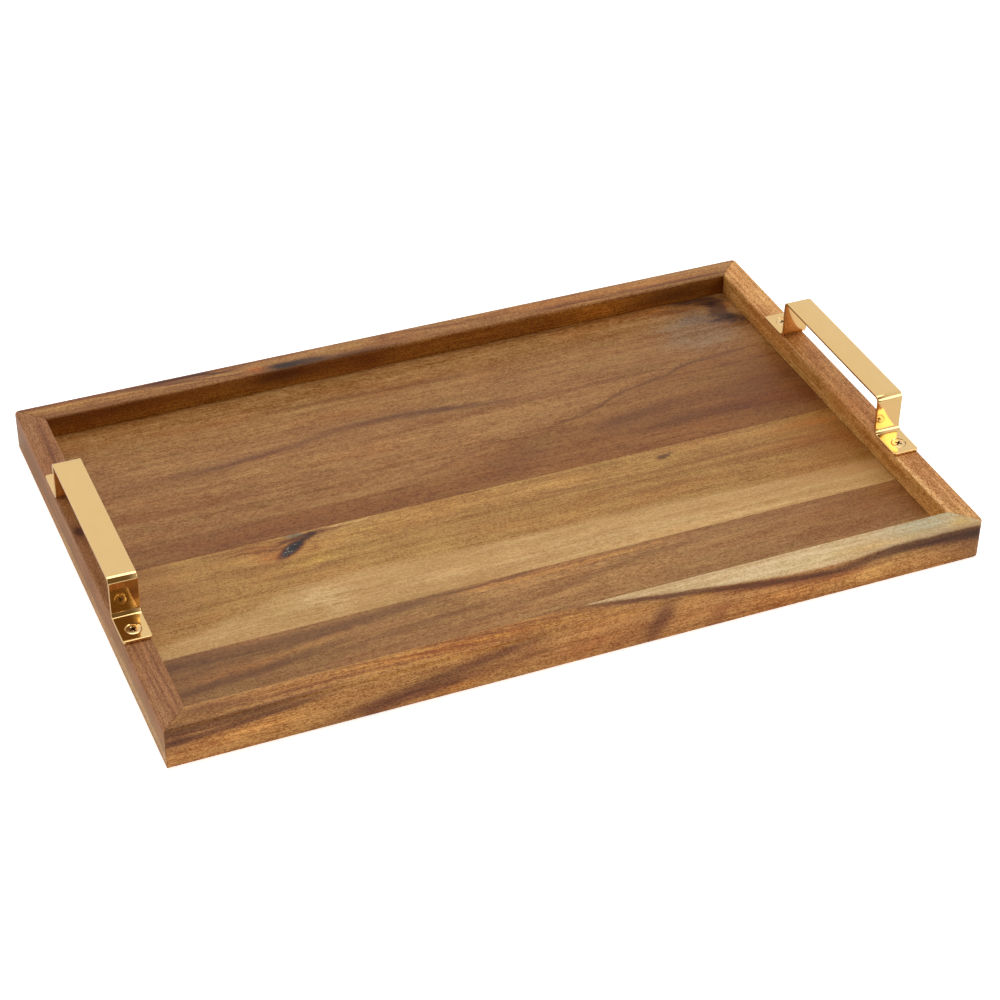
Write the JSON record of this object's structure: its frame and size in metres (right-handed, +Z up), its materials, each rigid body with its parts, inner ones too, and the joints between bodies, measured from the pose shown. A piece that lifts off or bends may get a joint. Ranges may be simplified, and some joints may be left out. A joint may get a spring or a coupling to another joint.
{
  "type": "serving tray",
  "caption": "Rectangular wooden serving tray with a mitred rim, a flat bottom of edge-glued boards, and a raised strap handle screwed to each short side.",
  "frame": {"origin": "middle of the underside", "axes": "+X along the long side, +Y towards the back long rail, +Z up out of the tray"},
  "size_m": [0.457, 0.295, 0.0491],
  "materials": {
    "long_rail_wood": "oiled, satin",
    "short_rail_wood": "oiled, satin",
    "front_stave_wood": "oiled, satin",
    "middle_stave_wood": "oiled, satin",
    "back_stave_wood": "oiled, satin",
    "spline_wood": "bare",
    "handle_metal": "polished gold-coloured plating",
    "screw_metal": "gold-coloured plating"
  },
  "bodies": {
    "root": {"rail_front": "long_rail_wood", "rail_back": "long_rail_wood", "rail_left": "short_rail_wood", "rail_right": "short_rail_wood", "stave_front": "front_stave_wood", "stave_middle": "middle_stave_wood", "stave_back": "back_stave_wood", "mitre_spline_front_left": "spline_wood", "mitre_spline_front_right": "spline_wood", "mitre_spline_back_right": "spline_wood", "mitre_spline_back_left": "spline_wood", "handle_left": "handle_metal", "handle_right": "handle_metal", "screw_left_front": "screw_metal", "screw_left_back": "screw_metal", "screw_right_front": "screw_metal", "screw_right_back": "screw_metal"}
  },
  "joints": []
}
